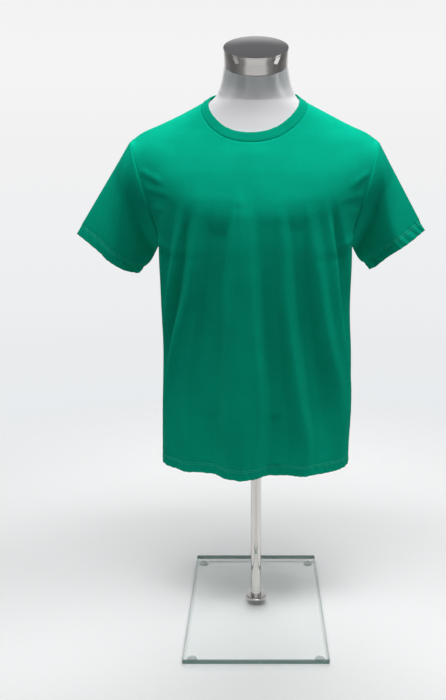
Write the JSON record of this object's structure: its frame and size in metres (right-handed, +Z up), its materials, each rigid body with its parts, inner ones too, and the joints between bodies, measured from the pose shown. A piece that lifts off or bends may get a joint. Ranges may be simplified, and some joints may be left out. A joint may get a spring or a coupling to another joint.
{
  "type": "t-shirt on a limbless torso dress form with a pole stand",
  "caption": "Short-sleeved crew-neck t-shirt in plain cotton jersey, draped on a glossy limbless torso form that stands on a pole and a rectangular glass base.",
  "frame": {"origin": "on the floor, under the middle of the whole object", "axes": "+Z up; the shirt's front faces -Y; -X is on the left of someone who faces the shirt"},
  "size_m": [0.6781, 0.4, 1.1566],
  "materials": {
    "green_jersey": "smooth single jersey cotton",
    "green_rib": "one-by-one rib knit cotton",
    "white_gloss": "lacquered, high gloss",
    "chrome": "mirror-bright plated steel",
    "clear_glass": "clear float glass with polished edges",
    "clear_rubber": "clear soft bumper, satin"
  },
  "bodies": {
    "root": {"front_panel": "green_jersey", "back_panel": "green_jersey", "left_sleeve": "green_jersey", "right_sleeve": "green_jersey", "neck_rib": "green_rib", "form_torso": "white_gloss", "cap_band": "chrome", "cap_lid": "chrome", "pole": "chrome", "pole_flange": "chrome", "glass_plate": "clear_glass", "foot_front_left": "clear_rubber", "foot_front_right": "clear_rubber", "foot_rear_left": "clear_rubber", "foot_rear_right": "clear_rubber"}
  },
  "joints": []
}
